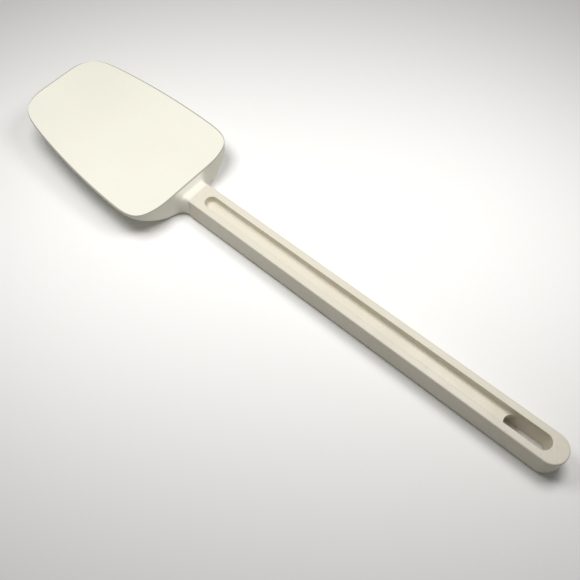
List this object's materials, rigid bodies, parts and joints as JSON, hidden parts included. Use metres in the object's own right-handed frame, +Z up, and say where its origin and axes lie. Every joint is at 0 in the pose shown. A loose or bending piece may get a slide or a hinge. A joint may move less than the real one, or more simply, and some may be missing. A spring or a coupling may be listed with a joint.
{
  "type": "heat-resistant spatula",
  "caption": "Long kitchen spatula with a flexible dished blade moulded over the tang of a stiff channelled handle, and a hang slot at the handle's round end.",
  "frame": {"origin": "middle of the length and width, on the plane of the handle's underside", "axes": "+X from the blade's tip to the handle's round end, +Y across the width, +Z up out of the channelled top face"},
  "size_m": [0.4208, 0.0936, 0.0316],
  "materials": {
    "handle_plastic": "matte off-white plastic with a fine grain",
    "blade_rubber": "matte creamy white rubber with faint scuffs"
  },
  "bodies": {
    "root": {"handle": "handle_plastic", "blade": "blade_rubber"}
  },
  "joints": []
}
